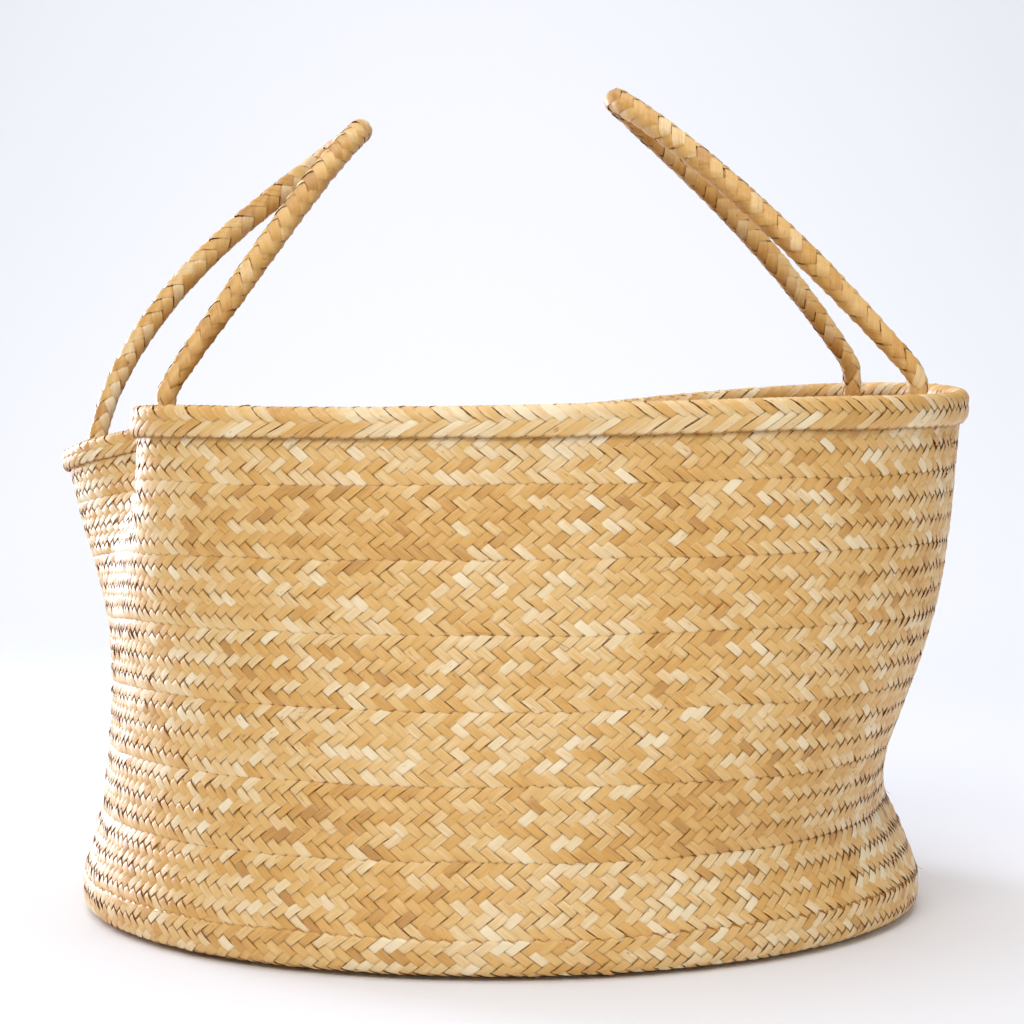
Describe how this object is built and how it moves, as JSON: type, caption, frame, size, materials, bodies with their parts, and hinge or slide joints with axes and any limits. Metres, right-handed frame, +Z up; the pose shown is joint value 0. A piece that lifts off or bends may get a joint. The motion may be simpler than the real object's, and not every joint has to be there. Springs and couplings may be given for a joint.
{
  "type": "storage basket",
  "caption": "Floppy round basket of plaited seagrass straps sewn edge to edge, with a folded rim binding and two braided loop handles that swing over the opening.",
  "frame": {"origin": "centre of the round base, on the surface the basket stands on", "axes": "+Z up, +X to the basket's right seen from the front, -Y the front"},
  "size_m": [0.5465, 0.4888, 0.4804],
  "materials": {
    "straw": "satin dry leaf",
    "handle_straw": "satin dry leaf",
    "rim_straw": "satin dry leaf",
    "cord": "matt"
  },
  "bodies": {
    "root": {"base_centre": "straw", "base_course_1": "straw", "base_course_2": "straw", "base_course_3": "straw", "base_course_4": "straw", "base_course_5": "straw", "heel_course": "straw", "wall_course_1": "straw", "wall_course_2": "straw", "wall_course_3": "straw", "wall_course_4": "straw", "wall_course_5": "straw", "wall_course_6": "straw", "wall_course_7": "straw", "base_lacing": "cord", "wall_lacing": "cord", "rim_binding": "rim_straw", "rim_thread": "cord", "left_front_tail": "handle_straw", "left_back_tail": "handle_straw", "right_front_tail": "handle_straw", "right_back_tail": "handle_straw", "left_front_lashing": "cord", "left_back_lashing": "cord", "right_front_lashing": "cord", "right_back_lashing": "cord"},
    "left_handle": {"left_handle_sleeve": "handle_straw", "left_handle_core": "cord"},
    "right_handle": {"right_handle_sleeve": "handle_straw", "right_handle_core": "cord"}
  },
  "joints": [
    {"name": "left_handle_swing", "type": "hinge", "parent": "root", "child": "left_handle", "pos_m": [-0.21426, -0.0441, 0.29005], "axis": [0.3589, -0.9189, 0.1638], "range_deg": [-35, 95]},
    {"name": "right_handle_swing", "type": "hinge", "parent": "root", "child": "right_handle", "pos_m": [0.22905, 0.00903, 0.31506], "axis": [-0.0681, 0.997, 0.0374], "range_deg": [-35, 105]}
  ]
}
